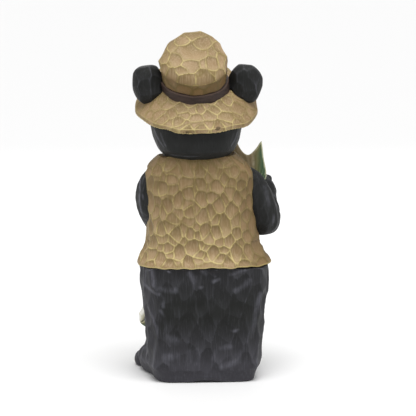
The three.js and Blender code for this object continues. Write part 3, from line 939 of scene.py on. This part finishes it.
def grown(name, tree_of, places_mm, ways, outs, sizes, material, slot, **for_paint):
    """A piece with one copy on each place: its own X along the way, and its own Z outwards."""
    mesh = new_mesh(name, (np.array(places_mm) + SHIFT) * MM, [])
    turns = []
    for way, out in zip(ways, outs):
        x = Vector(way).normalized()
        y = Vector(out).cross(x).normalized()
        turns.append(Matrix((x, y, x.cross(y))).transposed().to_euler())
    turn = mesh.attributes.new("turn", "FLOAT_VECTOR", "POINT")
    turn.data.foreach_set("vector", np.array(turns, dtype=np.float32).ravel())
    set_values(mesh, size=sizes, **for_paint)
    thing = bpy.data.objects.new(name, mesh)
    bpy.context.collection.objects.link(thing)
    tree, sockets = tree_of()
    growth = thing.modifiers.new("growth", "NODES")
    growth.node_group = tree
    for socket in sockets:
        growth[socket.identifier] = socket.default_value
    return show(applied(thing, name), name, material)


def claws():
    """Four claws on each foot and each paw."""
    places, ways, outs, sizes = [], [], [], []
    for side in (1, -1):
        for i in range(TOES):
            place, way = toe_line(side, i, 56)
            places.append(place + 11 * Z)
            ways.append(unit(way - 0.5 * Y) - 0.25 * Z)
            outs.append(Z)
            sizes.append(1.0)
            root, reach = finger(side, i)
            away = np.array([0, -1.0, 0]) if side > 0 else np.array([0.2, -1.0, 0.1])
            places.append(root + 1.0 * reach + 3.5 * unit(away) + 3 * unit(reach))
            ways.append(unit(reach) + 0.15 * away)
            outs.append(away)
            sizes.append(0.85)
    grown("claws", claw_tree, places, ways, outs, sizes, CLAW, "claw_paint")


claws()

# ---------------------------------------------------------------- hat

HAT_TILT = math.radians(28)
HAT_CENTRE = np.array([8.5, 5, 424])
HAT_AXES = np.array(
    [X, [0, math.cos(HAT_TILT), -math.sin(HAT_TILT)], [0, math.sin(HAT_TILT), math.cos(HAT_TILT)]]
)
BRIM_RADIUS = 89.0
BRIM_HALF = 3.3
DROOP = {"side": 33.0, "back": 19.0, "front": 11.0}
CROWN_RADIUS = 50.5
CROWN_HEIGHT = 71.0
CROWN_RISE = 0.3
CROWN_DENT = 7.0


def on_hat(points):
    """Places in the hat's own frame: +Z out of the crown, +Y to the back."""
    return (points - HAT_CENTRE) @ HAT_AXES.T


def brim_lift(x, y):
    reach = np.maximum(np.hypot(x, y), 1e-6)
    end = np.where(y > 0, DROOP["back"], DROOP["front"])
    edge = (DROOP["side"] * x * x + end * y * y) / reach**2
    out = np.clip((reach - CROWN_RADIUS) / (BRIM_RADIUS - CROWN_RADIUS), 0, 1.3)
    return -edge * out**1.2


def brim(points):
    x, y, up = np.moveaxis(on_hat(points), -1, 0)
    angle = np.arctan2(y, x)
    wavy = 0.8 * np.sin(5 * angle + 1) + 0.6 * np.sin(11 * angle)
    across = np.abs(up - brim_lift(x, y)) * 0.84 - BRIM_HALF
    return within(across, np.hypot(x, y) - BRIM_RADIUS - wavy + 0.8, 1.2)


def crown_middle(up):
    """The crown stands a little to the bear's left of the brim's middle, more so higher up."""
    return np.interp(up, [0, 20, 45, 62, 84], [2.5, 5.5, 7.0, 5.0, 1.5])


def crown(points):
    x, y, up = np.moveaxis(on_hat(points), -1, 0)
    x = (x - crown_middle(up)) * (1 + 0.2 * np.clip(-y / 45, 0, 1))  # narrower in front
    rise = 1 - CROWN_RISE * y / CROWN_HEIGHT
    dent = CROWN_DENT * np.exp(-((x / 20) ** 2) - (y / 26) ** 2)
    level = (up + dent * np.clip((up - 30) / 20, 0, 1)) / np.clip(rise, 0.7, 1.3)
    profile = [[0, -3], [39.5, -3], [42.5, 18], [44.8, 32], [46, 43], [42, 52], [33, 60],
               [19, 65], [0, 65]]
    return outline(np.hypot(x, y), level, np.vstack([profile, [-20, 66], [-20, -3]])) - 5


def band(points):
    x, y, up = np.moveaxis(on_hat(points), -1, 0)
    x = x - crown_middle(up)
    wavy = 0.6 * np.sin(7 * np.arctan2(y, x))
    corners = np.array([[36, -3.5], [49.2, -3.5], [48.2, 14.5], [36, 16]])
    return outline(np.hypot(x, y) - wavy * 0.4, up - wavy, corners) - 1.5


def ear(side):
    lean = Matrix.Rotation(-HAT_TILT * 0.4, 3, "X") @ Matrix.Rotation(side * 0.1, 3, "Y")
    axes = np.array(lean)
    middle = HAT_CENTRE + np.array([70 if side > 0 else -68.5, 2, 6]) @ HAT_AXES

    def field(points):
        local = np.abs((points - middle) @ axes) / (25 if side > 0 else 26.5, 20, 30.5)
        shape = 22 * ((local**2.3).sum(-1) ** (1 / 2.3) - 1)
        hollow = egg(points, middle + np.array([side * 1, -20, 3]), (15, 10, 19), axes)
        return minus(shape, hollow, 4)

    return field


hat_high = (106, 96, 520)
BRIM_CUTS = [
    (53, 41, 403, 22, 15, 1.1), (69, 32, 399, 22, 18, 0.9), (33, 53, 398, 19, 17, 1),
    (18, 57, 397, 17, 15, 1), (49, 54, 390, 20, 15, 0.9), (32, 61, 388, 20, 14, 1.1),
    (15, 66, 385, 20, 13, 1.2), (-6, 62, 389, 19, 16, 1.2), (-26, 49, 399, 24, 15, 0.8),
    (-29, 57, 387, 24, 15, 0.9), (13, 72, 376, 20, 13, 1), (-7, 70, 377, 19, 13, 1.2),
    (33, 68, 377, 20, 13, 1), (68, 43, 388, 24, 15, 0.9), (52, 60, 379, 21, 13, 0.9),
    (83, 20, 396, 21, 23, 0.7), (-50, 39, 394, 27, 16, 0.8), (-51, 48, 382, 26, 14, 0.7),
    (-28, 65, 376, 23, 11, 0.8), (78, 41, 379, 27, 11, 0.7), (-3, 55, 400, 17, 14, 0.7),
]
CROWN_CUTS = [
    (34, 60, 452, 31, 13, 1.3), (31, 64, 436, 34, 22, 1), (6, 64, 446, 17, 17, 1.3),
    (-10, 60, 447, 16, 20, 1), (4, 55, 463, 17, 19, 1.3), (47, 50, 462, 16, 16, 1.3),
    (20, 39, 476, 45, 42, 0.62), (-11, 43, 476, 16, 33, 0.9), (-24, 43, 468, 20, 34, 1),
    (58, 36, 471, 18, 27, 1), (58, 47, 449, 19, 24, 1.1), (43, 31, 486, 21, 29, 0.8),
    (16, 20, 498, 40, 19, 0.8), (-22, 54, 440, 30, 20, 0.9), (-6, 60, 430, 24, 15, 0.7),
    (14, 63, 426, 20, 14, 0.7), (50, 46, 429, 28, 22, 0.8), (-14, 26, 491, 18, 21, 0.8),
]


def near_sides(points):
    """The brim was cut deepest at the back, and left smoother at its two sides."""
    return np.interp(points[:, 0], [-62, -30, 44, 72], [0.45, 1, 1, 0.45])


brim_cuts = {"placed": BRIM_CUTS, "fade": near_sides, "spacing": 16, "stroke": HAT_AXES[1],
             "sway": 0.5, "length": 22, "width": 22, "depth": 2.3, "soft": 0.2, "roomy": 1.4}


def on_crown(points):
    """The crown's cuts run out just above the band."""
    return np.interp(on_hat(points)[:, 2], [12, 30], [0.6, 1])


def crown_coat(points):
    """Pale paint was brushed on the top; the lower crown keeps the dark coat, which also paints the
    shade on its down-facing lower walls.
    """
    return np.interp(on_hat(points)[:, 2], [10, 33, 43], [0.1, 0.12, 0.95])


def brim_coat(points):
    """The bear's right side of the brim is a shade darker."""
    return np.interp(points[:, 0], [-90, -25], [0.6, 0.95])


carved("hat_brim", brim, (-90, -86, 340), hat_high, 2.1, brim_cuts, TAN, "tan_paint",
       coat=brim_coat)
crown_cuts = {**brim_cuts, "placed": CROWN_CUTS, "fade": on_crown, "spacing": 21, "length": 32,
              "width": 32, "depth": 2.9, "soft": 0.15, "roomy": 1.2, "grade": 1.0}
carved("hat_crown", crown, (-60, -60, 388), hat_high, 2.1, crown_cuts, TAN, "tan_paint",
       coat=crown_coat)
band_cuts = {**brim_cuts, "placed": [], "fade": on_crown, "spacing": 14, "length": 24,
             "width": 18, "depth": 0.8, "soft": 0.3}
carved("hat_band", band, (-54, -62, 380), (72, 72, 466), 2.0, band_cuts, BAND, "band_paint")
ear_cuts = {**fur_cuts, "spacing": 15, "length": 34, "width": 27, "depth": 2.6, "soft": 0.5}
for side, label in ((1, "left_ear"), (-1, "right_ear")):
    low, high = ((50, -24, 384), (110, 46, 472)) if side > 0 else ((-94, -24, 384), (-34, 46, 472))
    carved(label, ear(side), low, high, 2.1, ear_cuts, FUR, "dark_fur_paint")

# ---------------------------------------------------------------- head

HEAD_X = 10.0
SKULL = [
    [320, 38, 38, HEAD_X, 6],
    [326, 49, 49, HEAD_X, 6],
    [335, 56, 56, HEAD_X, 6],
    [350, 63, 61, HEAD_X, 4],
    [368, 67, 63, HEAD_X, 2],
    [388, 66, 62, HEAD_X, 0],
    [406, 60, 57, HEAD_X, -3],
    [436, 44, 42, HEAD_X, -8],
]
EYE = (24, -58, 388)
EYE_HALF = (6.5, 6, 6.5)


def face_at(x, y, z):
    return np.array([HEAD_X + x, y, z])


def head(points):
    shape = stack(points, SKULL, 2.6, 6)
    shape = fuse(shape, egg(points, face_at(0, -56, 366), (38, 28, 30)), 12)
    for side in (-1, 1):
        shape = fuse(shape, egg(points, face_at(side * 25, -57, 402), (17, 9, 7)), 8)
        shape = fuse(shape, egg(points, face_at(side * 40, -36, 356), (22, 22, 24)), 12)
        socket = egg(points, face_at(side * EYE[0], EYE[1] - 5, EYE[2]), (7.5, 7, 7.5))
        shape = minus(shape, socket, 2.5)
    local = on_hat(points)
    under_brim = local[..., 2] - brim_lift(local[..., 0], local[..., 1]) + 1
    return within(shape, under_brim, 1.5)


def muzzle(points):
    shape = egg(points, face_at(0, -75, 363), (29, 33, 22))
    for side in (-1, 1):
        shape = fuse(shape, egg(points, face_at(side * 12, -91, 359), (15, 14, 13)), 5)
    shape = fuse(shape, egg(points, face_at(0, -80, 345), (16, 20, 9)), 5)
    mouth = egg(points, face_at(0, -100, 348.5), (20, 14, 2.0))
    groove = egg(points, face_at(0, -106, 358), (1.4, 7, 9))
    return minus(minus(shape, mouth, 2), groove, 2)


def nose(points):
    shape = egg(points, face_at(0, -100, 375), (14, 9, 9.5))
    for side in (-1, 1):
        hole = egg(points, face_at(side * 6, -108.5, 372.5), (3.2, 3, 2.4))
        shape = minus(shape, hole, 1.5)
    return shape


def head_coat(points):
    """The plainest black of all, with hardly a brush mark."""
    return -0.3 + 0 * points[:, 0]


head_cuts = {**arm_cuts, "spacing": 20, "width": 30, "length": 60, "depth": 1.4}
carved("head", head, (-64, -92, 314), (84, 76, 446), 2.4, head_cuts, FUR, "dark_fur_paint",
       coat=head_coat)
muzzle_cuts = {**arm_cuts, "spacing": 11, "stroke": -Y, "length": 20, "width": 15, "depth": 0.9}
carved("muzzle", muzzle, (-26, -116, 330), (46, -36, 392), 2.0, muzzle_cuts, MUZZLE, "muzzle_paint")
carved("nose", nose, (-8, -114, 360), (28, -86, 390), 1.4, None, ENAMEL, "gloss_black_paint")
for side, label in ((1, "left_eye"), (-1, "right_eye")):
    place = face_at(side * EYE[0], EYE[1] - 3, EYE[2])
    carved(label, lambda p, c=place: egg(p, c, EYE_HALF), place - 9, place + 9, 1.2, None, ENAMEL,
           "gloss_black_paint")

# ---------------------------------------------------------------- fish

FISH_STATIONS = [
    [89, -70, 66, 0.3, 0.36],
    [75, -73, 75, 0.48, 0.58],
    [53, -78, 93, 0.71, 0.81],
    [28, -84, 121, 0.95, 0.98],
    [-4, -87, 152, 1, 1],
    [-37, -85, 185, 0.92, 0.94],
    [-64, -78, 220, 0.72, 0.76],
    [-80, -68, 255, 0.5, 0.52],
    [-83, -58, 286, 0.4, 0.3],
]
FISH_DEPTH, FISH_THICKNESS = 37.0, 21.0
FISH_RINGS, FISH_SIDES = (300, 112) if FINE else (90, 40)
GILL_END, TAIL_START = 0.275, 0.93  # shares of the fish's length
SCALE_ROWS, SCALE_GAP = 42, 7.6


def fish_frame(t):
    """The spine at shares t from the nose: places, directions to the belly, to the flank, sizes."""
    path = rounded_path(FISH_STATIONS, 40)
    at = t * (len(path) - 1)
    spine = np.stack([np.interp(at, np.arange(len(path)), column) for column in path.T], axis=1)
    way = unit(np.gradient(path[:, :3], axis=0))
    way = unit(np.stack([np.interp(at, np.arange(len(path)), column) for column in way.T], axis=1))
    flank = unit(-Y + way * way[:, 1:2])
    belly = np.cross(way, flank)
    return spine[:, :3], belly, flank, spine[:, 3], spine[:, 4]


def fish_surface(t, angle):
    """Points of the fish at shares t along and angles round it; angle 0 is the belly's midline."""
    place, belly, flank, deep, thick = fish_frame(t)
    nose_round = np.sqrt(np.clip(t / 0.045, 0, 1))
    out_belly = np.cos(angle) * FISH_DEPTH * deep * nose_round
    out_flank = np.sin(angle) * FISH_THICKNESS * thick * nose_round
    return place + belly * out_belly[:, None] + flank * out_flank[:, None]


def fish_relief(t, angle):
    """How far the fish's skin stands out: gill cover, cheek, jaw line and flank line."""
    round_ = np.abs(np.sin(angle))
    gill = 0.235 + 0.03 * np.cos(angle) - 0.02 * np.cos(2 * angle)
    cover = np.where(t < gill, 1.7 * np.exp(-((gill - t) / 0.07) ** 2), 0) * round_
    eye_ring = 1.1 * np.exp(-(((t - 0.115) / 0.022) ** 2) - ((np.cos(angle) + 0.45) / 0.26) ** 2)
    jaw = -3.2 * np.exp(-(((np.cos(angle) - 0.16) / 0.13) ** 2)) * np.clip((0.1 - t) / 0.03, 0, 1)
    line = -0.5 * np.exp(-(((np.cos(angle) + 0.18) / 0.05) ** 2)) * (t > gill)
    return cover + eye_ring * round_ + jaw * round_ + line


def fish_body():
    t = np.repeat(np.linspace(0.0, 1, FISH_RINGS) ** 1.15, FISH_SIDES)
    angle = np.tile(np.arange(FISH_SIDES) * 2 * math.pi / FISH_SIDES, FISH_RINGS)
    points = fish_surface(t, angle)
    centre = fish_frame(t)[0]
    points = points + unit(points - centre) * fish_relief(t, angle)[:, None]
    rows = np.arange(FISH_RINGS - 1)[:, None] * FISH_SIDES
    here, there = np.arange(FISH_SIDES), (np.arange(FISH_SIDES) + 1) % FISH_SIDES
    ahead = rows + FISH_SIDES
    quads = np.stack([rows + here, rows + there, ahead + there, ahead + here], -1)
    quads = quads.reshape(-1, 4)[:, ::-1]
    first, last = points[0], points[-FISH_SIDES:].mean(0)
    points = np.vstack([points[FISH_SIDES:], first, last])
    quads = quads[FISH_SIDES:] - FISH_SIDES
    tip, root = len(points) - 2, len(points) - 1
    ends = [[tip, b, a] for a, b in zip(here, there)]
    tail = (FISH_RINGS - 2) * FISH_SIDES
    ends += [[root, tail + a, tail + b] for a, b in zip(here, there)]
    mesh = new_mesh("fish_body", points, quads.tolist() + ends)
    mesh.update()
    belly = np.concatenate([0.5 + 0.5 * np.cos(angle[FISH_SIDES:]), [0.6, 0.3]])
    # The hollows get a dark wash and painted shade, from how the skin bends in
    set_values(mesh, belly=belly, worn=bulge_of(mesh, 3) - 0.03, wash=-bulge_of(mesh, 10))
    return finish_piece(mesh, "fish_body", FISH, points)


fish_body()


def fish_scales():
    """Rows of scales from the gill cover to the tail root, each row set off by half a scale."""
    spots = []
    for row, t in enumerate(np.linspace(GILL_END, TAIL_START, SCALE_ROWS)):
        _, _, _, deep, thick = fish_frame(np.array([t]))
        halves = FISH_DEPTH * deep[0], FISH_THICKNESS * thick[0]
        around = 2 * math.pi * math.sqrt((halves[0] ** 2 + halves[1] ** 2) / 2)
        many = int(around / SCALE_GAP)
        for i in range(many):
            angle = 2 * math.pi * (i + 0.5 * (row % 2)) / many
            if abs(math.cos(angle)) < 0.93:
                spots.append((t, angle))
    t, angle = np.array(spots).T
    places = fish_surface(t, angle)
    along = unit(fish_surface(t + 0.01, angle) - places)
    outs = unit(np.cross(fish_surface(t, angle + 0.05) - places, along))
    outs *= np.sign((outs * (places - fish_frame(t)[0])).sum(-1, keepdims=True))
    sizes = np.interp(t, [0.5, TAIL_START], [1.0, 0.62]) * rng.uniform(0.94, 1.06, len(t))
    grown("fish_scales", scale_tree, places - 0.15 * outs, along + 0.16 * outs, outs, sizes, FISH,
          "fish_paint", belly=0.5 + 0.5 * np.cos(angle), worn=0.05 + 0 * t, wash=0 * t)


fish_scales()
eye_place = fish_surface(np.array([0.125]), np.array([2.02]))[0]
carved("fish_eye", lambda p: egg(p, eye_place, (4.6, 3.4, 4.6)), eye_place - 7, eye_place + 7, 0.9,
       None, ENAMEL, "gloss_black_paint")


def fin(name, corners, depth_y, rays_from, ray_count, ray_height, belly_of):
    """A flat fin with rays that fan out from a point. Its rim is thinner than its root."""
    corners = np.array(corners, float)
    smooth = rounded_path(np.vstack([corners, corners[:1]]), 5)[:-1]
    root = np.array(rays_from, float)

    def field(points):
        x, y, up = np.moveaxis(points, -1, 0)
        edge = outline(x, up, smooth) + 1.2
        reach = np.hypot(x - root[0], up - root[1])
        half = np.clip(3.6 - 0.02 * reach, 1.4, 3.6)
        return within(edge, np.abs(y - depth_y) - half, 2.0)

    def rays(points, normals):
        angle = np.arctan2(points[:, 0] - root[0], points[:, 2] - root[1])
        return ray_height * np.cos(angle * ray_count) * (np.abs(normals[:, 1]) > 0.6)

    low = [smooth[:, 0].min() - 3, depth_y - 6, smooth[:, 1].min() - 3]
    high = [smooth[:, 0].max() + 3, depth_y + 6, smooth[:, 1].max() + 3]
    piece = carved(name, field, low, high, 1.5, None, FISH, "fish_paint", rays)
    place = of_each_point(piece.data, "co") / MM - SHIFT
    rim = outline(place[:, 0], place[:, 2], smooth)
    set_values(piece.data, belly=belly_of(place[:, 0], place[:, 2], rim))
    return piece, place, rim


TAIL = [(-66, 276), (-46, 306), (-37, 340), (-41, 352), (-50, 348), (-60, 328), (-70, 320),
        (-80, 328), (-87, 338), (-91, 339), (-94, 316), (-97, 282)]
tail, tail_place, tail_rim = fin(
    "fish_tail", TAIL, -53, (-82, 262), 46, 0.14,
    lambda x, up, rim: np.clip((x + 94) / 30, 0, 0.56)
    + 0.35 * np.exp(-((rim / 1.6) ** 2)) * (x > -86))
# The tail's inner lobe was brushed with the vest's tan, all but its rim
inner = np.clip((tail_place[:, 0] + 84) / 10, 0, 1) * np.clip((-tail_rim - 0.6) / 1.2, 0, 1)
set_values(tail.data, tanned=inner)
BACK_FIN = [(8, 114), (-22, 102), (-46, 128), (-64, 154), (-76, 194), (-44, 182), (-20, 150)]
fin("fish_back_fin", BACK_FIN, -82, (30, 190), 60, 0.4, lambda x, up, rim: 0.2 + 0 * x)
BELLY_FIN = [(-36, 216), (-26, 234), (-44, 252), (-62, 232)]
fin("fish_belly_fin", BELLY_FIN, -75, (-60, 214), 34, 0.4, lambda x, up, rim: 0.75 + 0 * x)

# ---------------------------------------------------------------- floor, lights, camera

VIEW_AZIMUTH, VIEW_ELEVATION, VIEW_DISTANCE = 176.0, 8.0, 3.0
SEEN_WIDTH = 0.6032  # what the view takes in at the figure, in metres
AIM = Vector((0.0003, 0.020, 0.2477))


def direction(azimuth, elevation):
    """From the object towards a viewer; azimuth 0 is in front, 90 at the bear's left."""
    a, e = math.radians(azimuth), math.radians(elevation)
    return Vector((math.sin(a) * math.cos(e), -math.cos(a) * math.cos(e), math.sin(e)))


def place_facing(thing, azimuth, elevation, distance, aim=AIM):
    way = direction(azimuth, elevation)
    thing.location = aim + way * distance
    thing.rotation_euler = way.to_track_quat("Z", "Y").to_euler()
    bpy.context.collection.objects.link(thing)


camera_data = bpy.data.cameras.new("camera")
camera_data.sensor_width = 36
camera_data.lens = camera_data.sensor_width * VIEW_DISTANCE / SEEN_WIDTH
camera_data.clip_end = 50
camera = bpy.data.objects.new("camera", camera_data)
place_facing(camera, VIEW_AZIMUTH, VIEW_ELEVATION, VIEW_DISTANCE)
bpy.context.scene.camera = camera


def lamp(name, azimuth, elevation, distance, size, watts):
    data = bpy.data.lights.new(name, "AREA")
    data.size = size
    data.energy = watts
    place_facing(bpy.data.objects.new(name, data), azimuth, elevation, distance)


lamp("left_box", 110, 20, 2.2, 1.2, 7)
lamp("right_box", 245, 20, 2.2, 1.2, 7)
lamp("front_box", 0, 35, 2.4, 1.6, 12)

overhead = bpy.data.lights.new("overhead", "SUN")
overhead.energy = 2.9
overhead.angle = math.radians(38)
place_facing(bpy.data.objects.new("overhead", overhead), 184, 69, 3)

world = bpy.data.worlds.new("studio")
world.use_nodes = True
# The studio's walls light the figure softly, and are seen as white as the floor
seen = add(world.node_tree, "ShaderNodeLightPath").outputs["Is Camera Ray"]
glow = add(world.node_tree, "ShaderNodeMapRange", {"Value": seen, "To Min": 0.55, "To Max": 1.0})
backdrop = world.node_tree.nodes["Background"]
backdrop.inputs["Color"].default_value = (1, 1, 1, 1)
world.node_tree.links.new(glow.outputs[0], backdrop.inputs["Strength"])
bpy.context.scene.world = world
bpy.context.scene.view_settings.view_transform = "Standard"

FLOOR_HALF = 30.0
corners = [(x * FLOOR_HALF, y * FLOOR_HALF, 0) for x, y in ((-1, -1), (1, -1), (1, 1), (-1, 1))]
floor_mesh = new_mesh("floor", corners, [(0, 1, 2, 3)])
floor = bpy.data.objects.new("floor", floor_mesh)
bpy.context.collection.objects.link(floor)
floor_paint = bpy.data.materials.new("white studio sweep")
floor_paint.use_nodes = True
floor_shader = floor_paint.node_tree.nodes["Principled BSDF"]
floor_shader.inputs["Base Color"].default_value = (0.70, 0.70, 0.70, 1)
floor_shader.inputs["Roughness"].default_value = 0.9
floor_mesh.materials.append(floor_paint)
